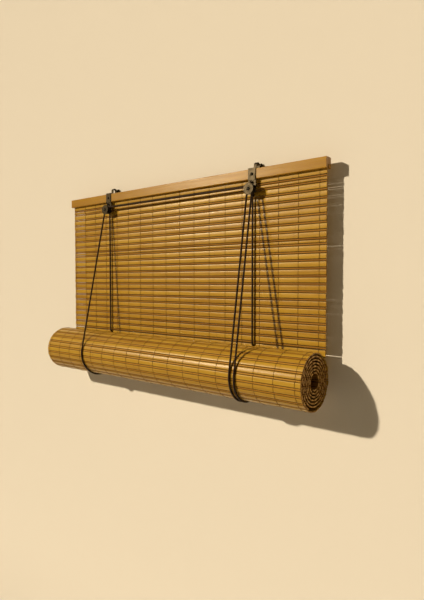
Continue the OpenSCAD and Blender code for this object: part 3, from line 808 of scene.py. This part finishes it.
def add_roll():
    """A closed outer turn with its threads, round a spiral of inner turns."""
    slats = wound_slats()
    threads = wound_threads()
    centre = (ROLL_X, ROLL_Y, ROLL_Z)
    ring_radius = ROLL_RADIUS - SLAT_THICKNESS / 2
    ring_pitch = 2 * math.pi * ring_radius / RING_ROWS
    start_angle = math.pi / RING_ROWS * SLAT_WIDTH / ROW_PITCH
    common = {"Length": 2 * MAT_HALF, "Least Width": SLAT_LEAST, "Sway": ROLL_SWAY, "Centre": centre}
    ring = {
        **common, "Count": RING_ROWS, "Pitch": ring_pitch, "Radius": ring_radius,
        "Turn Pitch": 0.0, "Start Angle": start_angle, "Bend": RING_BEND,
    }
    turn_radius = ring_radius - TURN_GAP
    turn_start = wound_length(turn_radius, TURN_FIRST)
    turn_rows = int((wound_length(turn_radius, TURN_LAST) - turn_start) / ROW_PITCH)
    inner = {
        **common, "Count": turn_rows, "Pitch": ROW_PITCH, "Radius": turn_radius,
        "Turn Pitch": TURN_PITCH, "Start Angle": 0.0, "Bend": 1.0,
    }
    wide = {
        "Width": SLAT_WIDTH * ROLL_FULL, "Thickness": SLAT_THICKNESS, "Roundness": SLAT_ROUNDNESS,
    }
    thin = {
        "Width": STICK_WIDTH * STICK_FULL, "Thickness": STICK_THICKNESS, "Roundness": STICK_ROUNDNESS,
    }
    pieces = [
        grow("roll_slats", slats, {**ring, **wide, "Start": 0.0, "Seed": 5, "Finish": RING_FINISH}),
        grow("roll_sticks", slats, {
            **ring, **thin, "Start": ring_pitch / 2, "Seed": 7, "Finish": RING_STICK_FINISH,
        }),
        grow("turn_slats", slats, {
            **inner, **wide, "Start": turn_start, "Seed": 31, "Finish": SHADED_TURN_FINISH,
        }),
        grow("turn_sticks", slats, {
            **inner, **thin, "Start": turn_start + ROW_PITCH / 2, "Seed": 37, "Finish": STICK_FINISH,
        }),
    ]
    woven = {
        "Lines": THREAD_LINES, "Spacing": THREAD_SPACING, "Thread Radius": THREAD_RADIUS,
        "Rows": RING_ROWS, "Radius": ring_radius, "Start Angle": start_angle, "Finish": THREAD_FINISH,
        "Centre": (0.0, ROLL_Y, ROLL_Z),
    }
    outer_thread = grow("roll_outer_threads", threads, {
        **woven, "Shift": OUTER_THREAD_X, "Slat Reach": SLAT_REACH, "Stick Reach": -STICK_REACH,
    })
    inner_thread = grow("roll_inner_threads", threads, {
        **woven, "Shift": INNER_THREAD_X, "Slat Reach": -SLAT_REACH, "Stick Reach": STICK_REACH,
    })
    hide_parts("rolled_mat")
    for piece in pieces + [outer_thread, inner_thread]:
        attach(piece, "roll")


# Cords


def round_axle(x, y, angle):
    return Vector((x + WRAP_RADIUS * math.cos(angle), y, AXLE_Z + WRAP_RADIUS * math.sin(angle)))


def round_roll(x, angle):
    across = ROLL_Y + SLING_RADIUS * math.cos(angle)
    return Vector((x, across, ROLL_Z + SLING_RADIUS * math.sin(angle)))


def over_roll(x, reach, rise):
    return Vector((x, ROLL_Y + reach, ROLL_Z + math.sqrt((SLING_RADIUS + rise) ** 2 - reach ** 2)))


def arc(start, end, steps):
    return [start + (end - start) * i / steps for i in range(steps + 1)]


CAP_EXIT_Y = CAP_BACK + CORD_RADIUS + 0.25 * MM
CAP_EXIT_Z = AXLE_Z - math.sqrt(CAP_RADIUS ** 2 - (WRAP_RADIUS - CORD_RADIUS) ** 2) - 0.4 * MM
FLANGE_EXIT_Y = FRONT_GROOVE_Y - 0.3 * MM
FLANGE_EXIT_Z = AXLE_Z - math.sqrt(SHEAVE_RADIUS ** 2 - WRAP_RADIUS ** 2) - 0.3 * MM
RUN_Y = CAP_EXIT_Y - ROLL_Y
RUN_Z = CAP_EXIT_Z - ROLL_Z
TOUCH_ANGLE = math.atan2(RUN_Z, RUN_Y) + math.acos(SLING_RADIUS / math.hypot(RUN_Y, RUN_Z))

# The middle stretch of a front cord takes up the lift. Its ends keep clear of the cap and the roll.
STRETCH_TOP = CAP_EXIT_Z - 5 * MM
STRETCH_FOOT = ROLL_Z + ROLL_RADIUS + 8 * MM


def at_height(start, end, z):
    """The point of a straight stretch that is at a given height."""
    return start.lerp(end, (z - start.z) / (end.z - start.z))


def route_length(route):
    return sum((b - a).length for a, b in zip(route, route[1:]))


def front_route(x, sway):
    """From the sheave's side, past the cap's rim and straight down to the roll's front."""
    return [
        Vector((x, FRONT_GROOVE_Y, AXLE_Z)),
        Vector((x, FLANGE_EXIT_Y, FLANGE_EXIT_Z)),
        Vector((x, CAP_EXIT_Y, CAP_EXIT_Z)),
        round_roll(x + sway, TOUCH_ANGLE),
    ]


def rear_route(x, foot):
    """From the knot, through the hanger's plate and down in front of the mat."""
    return [
        Vector((x, PLATE_FRONT, TIE_Z)),
        Vector((x, PLATE_BACK, TIE_Z)),
        Vector((x, REAR_CORD_Y, TIE_Z - 1.5 * MM)),
        Vector((x, REAR_CORD_Y, TIE_Z - 12 * MM)),
        foot,
    ]


def hug(start, rear_x, front_x):
    """Against the roll, from its back down round its foot to where the front cord leaves it."""
    angles = arc(start, TOUCH_ANGLE - 2 * math.pi, HUG_STEPS)
    places = arc(rear_x, front_x, HUG_STEPS)
    return [round_roll(x, angle) for x, angle in zip(places, angles)]


def lace_start(x):
    """Where a rear cord ends and its sling starts, in front of the mat."""
    reach = REAR_CORD_Y - ROLL_Y
    return [
        over_roll(x, reach, LACE_RISE + 4.3 * MM),
        over_roll(x, reach + 0.6 * MM, LACE_RISE + 2.4 * MM),
    ]


def sling_route(rear_x, front_x):
    """Through the mat, round the roll's back and foot, and up to the roll's front."""
    reach = MAT_Y - ROLL_Y
    laced = [
        over_roll(rear_x, reach - 1 * MM, LACE_RISE - 0.2 * MM),
        over_roll(rear_x, reach + 3 * MM, LACE_RISE - 1.2 * MM),
        over_roll(rear_x, reach + 8 * MM, LACE_RISE - 2.5 * MM),
    ]
    return lace_start(rear_x) + laced + hug(HUG_ANGLE, rear_x, front_x)


def wrap(x, y, start, end):
    return [round_axle(x, y, math.radians(a)) for a in arc(start, end, WRAP_STEPS)]


def cross_route():
    """Over the left sheave, along under the rail and over the right sheave to its knot."""
    tail = math.sqrt((SHEAVE_RADIUS + KNOT_RADIUS + 0.3 * MM) ** 2 - WRAP_RADIUS ** 2) - KNOT_RADIUS
    start = wrap(-HANGER_X, FRONT_GROOVE_Y, 180, 90)
    end = wrap(HANGER_X, REAR_GROOVE_Y, 90, 0)
    foot = Vector((HANGER_X + WRAP_RADIUS, REAR_GROOVE_Y, AXLE_Z - tail))
    return start + end + [foot]


def eased(route, reach):
    """Rounds each corner of a route, over a set reach on both sides of it."""
    points = [route[0]]
    for before, corner, after in zip(route, route[1:], route[2:]):
        back = before - corner
        on = after - corner
        first = corner + back * min(reach / back.length, 0.45)
        last = corner + on * min(reach / on.length, 0.45)
        for t in (0.0, 0.33, 0.67, 1.0):
            points.append(first * (1 - t) ** 2 + corner * 2 * t * (1 - t) + last * t ** 2)
    return points + [route[-1]]


def route_mesh(name, route, closed=False):
    mesh = bpy.data.meshes.new(name)
    edges = [(i, i + 1) for i in range(len(route) - 1)]
    if closed:
        edges.append((len(route) - 1, 0))
    mesh.from_pydata([tuple(p) for p in route], edges, [])
    return mesh


def knot_route(centre, size):
    """The closed line of an overhand knot."""
    points = []
    for i in range(KNOT_STEPS):
        t = 2 * math.pi * i / KNOT_STEPS
        across = math.sin(t) + 2 * math.sin(2 * t)
        up = math.cos(t) - 2 * math.cos(2 * t)
        points.append(centre + Vector((across, -math.sin(3 * t) * 1.1, up)) * size)
    return points


def middle(node):
    low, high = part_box(node)
    return (low + high) / 2


def add_cords():
    """Each stretch of the cords on the body it moves with, and their knots."""
    tree = laid_cord()
    left, right = -HANGER_X, HANGER_X
    size = {
        "Radius": CORD_RADIUS * CORD_FULL, "Lay": CORD_LAY, "Step": CORD_STEP, "Finish": CORD_FINISH,
    }

    def cord(node, route, body, part="laid", before=0.0):
        mesh = route_mesh(node, eased(route, CORNER_REACH))
        piece = grow(node + "_" + part, tree, {**size, "Laid Before": before}, mesh)
        if part == "laid":
            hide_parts(node)
        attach(piece, body)
        return piece

    rears = {
        "left_rear_cord": left + TIE_X,
        "right_rear_cord": right + TIE_X,
    }
    for node, x in rears.items():
        foot = lace_start(x)[0]
        shorten(cord(node, rear_route(x, foot), "rail"))
    fronts = {
        "left_front_cord": (left - WRAP_RADIUS, LEFT_SWAY),
        "right_front_cord": (right - WRAP_RADIUS, RIGHT_SWAY),
        "pull_cord": (right + WRAP_RADIUS, RIGHT_SWAY),
    }
    for node, (x, sway) in fronts.items():
        *bends, touch = front_route(x, sway)
        high = at_height(bends[-1], touch, STRETCH_TOP)
        low = at_height(bends[-1], touch, STRETCH_FOOT)
        first = route_length(bends + [high])
        cord(node, bends + [high], "rail", "top")
        shorten(cord(node, [high, low], "rail", before=first))
        cord(node, [low, touch], "slings", "foot", first + route_length([high, low]))
    cord("left_sling", sling_route(left + TIE_X, left - WRAP_RADIUS + LEFT_SWAY), "slings")
    cord("right_sling", sling_route(right + TIE_X, right - WRAP_RADIUS + RIGHT_SWAY), "slings")
    stowed = hug(PULL_END_ANGLE, right + PULL_END_X, right + WRAP_RADIUS + RIGHT_SWAY)
    cord("pull_sling", stowed, "slings")
    cord("cross_cord", cross_route(), "rail")
    cord("right_over_cord", wrap(right, FRONT_GROOVE_Y, 180, 0), "rail")

    knots = {
        "left_rear_knot": "rail", "right_rear_knot": "rail", "cross_knot": "rail",
        "pull_knot": "slings",
    }
    for node, body in knots.items():
        mesh = route_mesh(node, knot_route(middle(node), KNOT_SIZE), closed=True)
        piece = grow(node + "_tied", tree, {**KNOT_CORD, "Finish": CORD_FINISH}, mesh)
        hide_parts(node)
        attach(piece, body)


# Screws


def plain_mesh(name, shape):
    mesh = bpy.data.meshes.new(name)
    shape.to_mesh(mesh)
    shape.free()
    return mesh


def turned_screw():
    """A round head and its shank, turned about Y."""
    shape = bmesh.new()
    rings = [shape.verts.new((r * MM, y * MM, 0)) for r, y in SCREW_PROFILE]
    edges = [shape.edges.new(pair) for pair in zip(rings, rings[1:])]
    bmesh.ops.spin(
        shape, geom=rings + edges, cent=(0, 0, 0), axis=(0, 1, 0),
        angle=2 * math.pi, steps=SCREW_SIDES, use_duplicate=False,
    )
    bmesh.ops.remove_doubles(shape, verts=shape.verts, dist=1e-6)
    bmesh.ops.recalc_face_normals(shape, faces=shape.faces)
    return put("screw", plain_mesh("screw", shape))


def slot_block():
    shape = bmesh.new()
    bmesh.ops.create_cube(shape, size=1.0)
    bmesh.ops.scale(shape, vec=SCREW_SLOT, verts=shape.verts)
    bmesh.ops.translate(shape, vec=(0, SCREW_SLOT_Y, 0), verts=shape.verts)
    return put("slot_cutter", plain_mesh("slot_cutter", shape))


def add_screws():
    """Round headed screws with a straight slot, turned a little differently on each side."""
    screw, cutter = turned_screw(), slot_block()
    cut = screw.modifiers.new("slot", "BOOLEAN")
    cut.object = cutter
    cut.operation = "DIFFERENCE"
    graph = bpy.context.evaluated_depsgraph_get()
    slotted = bpy.data.meshes.new_from_object(screw.evaluated_get(graph), depsgraph=graph)
    both = bmesh.new()
    for x, turn in zip((-HANGER_X, HANGER_X), SCREW_TURNS):
        before = set(both.verts)
        both.from_mesh(slotted)
        added = [v for v in both.verts if v not in before]
        bmesh.ops.rotate(both, cent=(0, 0, 0), matrix=Matrix.Rotation(turn, 3, "Y"), verts=added)
        bmesh.ops.translate(both, vec=(x, STRAP_FRONT, SCREW_Z), verts=added)
    for spare in (screw, cutter):
        bpy.data.objects.remove(spare)
    piece = put("slotted_screws", plain_mesh("slotted_screws", both))
    piece.data.materials.append(PIN_FINISH)
    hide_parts("hanger_screws")
    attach(piece, "rail")


# Model pieces that keep their own shape


def finish_model_nodes():
    finishes = {
        "head_rail": RAIL_FINISH,
        "mat_pins": IRON_FINISH,
        "left_hanger": IRON_FINISH,
        "right_hanger": IRON_FINISH,
        "left_axle": PIN_FINISH,
        "right_axle": PIN_FINISH,
        "left_pulley_cap": IRON_FINISH,
        "right_pulley_cap": IRON_FINISH,
        "left_sheave": SHEAVE_FINISH,
        "right_sheave": SHEAVE_FINISH,
    }
    for node, finish in finishes.items():
        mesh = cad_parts[node].data
        mesh.materials.clear()
        mesh.materials.append(finish)


# Stage, light and camera


def add_stage():
    """A pale floor, and a pale wall that can be seen only from the room."""
    left, right, far = -STAGE_REACH, STAGE_REACH, STAGE_REACH
    meshes = {
        "floor": [
            (left, -far, FLOOR_Z), (right, -far, FLOOR_Z),
            (right, far, FLOOR_Z), (left, far, FLOOR_Z),
        ],
        "wall": [
            (left, WALL_Y, FLOOR_Z), (right, WALL_Y, FLOOR_Z),
            (right, WALL_Y, far), (left, WALL_Y, far),
        ],
    }
    plain = {"Base_Color": PAINT_COLOUR, "Roughness": 0.85, "Specular_IOR_Level": 0.2}
    for name, corners in meshes.items():
        mesh = bpy.data.meshes.new(name)
        mesh.from_pydata(corners, [], [(0, 1, 2, 3)])
        mesh.materials.append(start_finish(name + " paint", **plain)[0])
        put(name, mesh)
    bpy.data.objects["wall"].visible_shadow = False
    paint = bpy.data.materials["wall paint"].node_tree
    net = Net(paint)
    clear = net.add("ShaderNodeBsdfTransparent")
    behind = net.add("ShaderNodeNewGeometry").outputs["Backfacing"]
    both = net.add("ShaderNodeMixShader", {0: behind, 1: paint.nodes["Principled BSDF"], 2: clear})
    net.feed(paint.nodes["Material Output"].inputs["Surface"], both)


def add_lamp(name, place, power, radius, fade):
    """A warm lamp that lights the wall evenly and the floor only a little."""
    bulb = bpy.data.lights.new(name, "POINT")
    bulb.energy = power
    bulb.shadow_soft_size = radius
    bulb.color = LAMP_COLOUR
    bulb.use_nodes = True
    net = Net(bulb.node_tree)
    ray = net.parts(net.add("ShaderNodeTexCoord").outputs["Normal"])
    even = net.math("DIVIDE", 1.0, net.math("MAXIMUM", net.math("ABSOLUTE", ray[1]), LEAST_DEPTH))
    slope = net.math("MULTIPLY", ray[2], even)
    even = net.math("MULTIPLY", even, net.between(slope, *fade, FADED_SHARE, 1.0, "SMOOTHSTEP"))
    steady = net.add("ShaderNodeLightFalloff", {"Strength": even})
    glow = bulb.node_tree.nodes["Emission"]
    net.feed(glow.inputs["Strength"], steady.outputs["Constant"])
    lamp = put(name, bulb)
    lamp.location = place
    return lamp


def add_light():
    """A lamp up to the left, one beside it for gloss alone, a weak one behind, and a dim warm room."""
    add_lamp("key", KEY_PLACE, KEY_POWER, KEY_RADIUS, FRONT_FADE).visible_glossy = False
    add_lamp("gloss", GLOSS_PLACE, GLOSS_POWER, GLOSS_RADIUS, FRONT_FADE).visible_diffuse = False
    add_lamp("rear", REAR_PLACE, REAR_POWER, REAR_RADIUS, REAR_FADE).visible_glossy = False
    world = bpy.data.worlds.new("room")
    world.use_nodes = True
    sky = world.node_tree.nodes["Background"]
    sky.inputs["Color"].default_value = ROOM_COLOUR
    sky.inputs["Strength"].default_value = ROOM_STRENGTH
    net = Net(world.node_tree)
    values = {"Color": BACKDROP_COLOUR, "Strength": BACKDROP_STRENGTH}
    backdrop = net.add("ShaderNodeBackground", values)
    seen = net.add("ShaderNodeLightPath").outputs["Is Camera Ray"]
    both = net.add("ShaderNodeMixShader", {0: seen, 1: sky, 2: backdrop})
    net.feed(world.node_tree.nodes["World Output"].inputs["Surface"], both)
    bpy.context.scene.world = world


def add_camera():
    data = bpy.data.cameras.new("camera")
    data.sensor_fit = "HORIZONTAL"
    data.sensor_width = SENSOR_WIDTH
    data.lens = FOCAL_PIXELS / IMAGE_WIDTH * SENSOR_WIDTH
    camera = put("camera", data)
    camera.location = CAMERA_PLACE
    level = math.cos(CAMERA_PITCH)
    forward = Vector((
        -math.sin(CAMERA_YAW) * level, math.cos(CAMERA_YAW) * level, -math.sin(CAMERA_PITCH),
    ))
    camera.rotation_euler = forward.to_track_quat("-Z", "Y").to_euler()
    bpy.context.scene.camera = camera


add_camera()
add_cords()
add_flat_mat()
add_roll()
add_screws()
finish_model_nodes()
add_stage()
add_light()
bpy.context.scene.view_settings.view_transform = "Standard"
